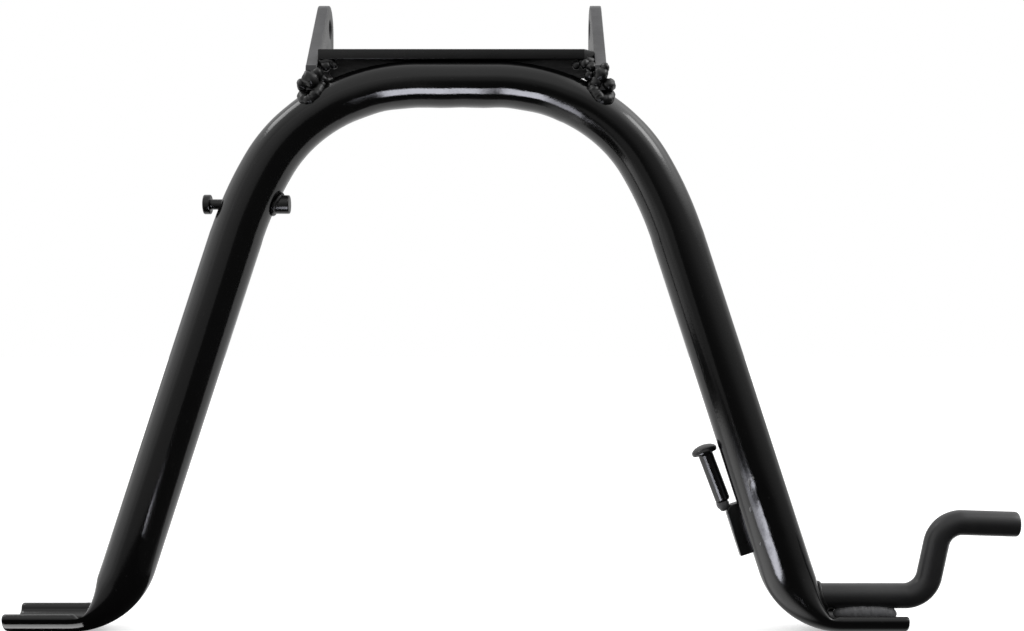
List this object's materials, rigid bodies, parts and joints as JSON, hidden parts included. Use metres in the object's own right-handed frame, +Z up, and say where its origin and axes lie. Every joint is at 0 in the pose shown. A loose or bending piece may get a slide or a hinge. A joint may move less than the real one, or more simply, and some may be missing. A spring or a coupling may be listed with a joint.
{
  "type": "scooter centre stand",
  "caption": "Arched tube stand with pressed trough feet, a cross plate with pivot ears, a cranked foot lever, a spring pin and a stop peg.",
  "frame": {"origin": "middle of the pivot axis, halfway between the two pivot ears", "axes": "+X along the pivot axis towards the foot lever's side, +Y towards the back of the stand, where the ears reach, +Z up from the feet to the pivot when the stand is down"},
  "size_m": [0.4834, 0.0635, 0.3089],
  "materials": {
    "tube_paint": "satin black paint",
    "plate_paint": "satin black paint, thinner on cut edges",
    "pin_paint": "gloss black paint",
    "weld_paint": "black paint over rough weld"
  },
  "bodies": {
    "root": {"hoop_tube": "tube_paint", "cross_plate": "plate_paint", "left_pivot_ear": "plate_paint", "right_pivot_ear": "plate_paint", "foot_lever": "tube_paint", "spring_pin": "pin_paint", "buffer_peg": "pin_paint", "peg_tab": "plate_paint", "left_ear_weld": "weld_paint", "right_ear_weld": "weld_paint", "left_plate_weld": "weld_paint", "right_plate_weld": "weld_paint", "crown_weld": "weld_paint", "spring_pin_weld": "weld_paint", "tab_weld": "weld_paint", "peg_weld": "weld_paint", "lever_bed_weld": "weld_paint", "lever_collar_weld": "weld_paint"}
  },
  "joints": []
}
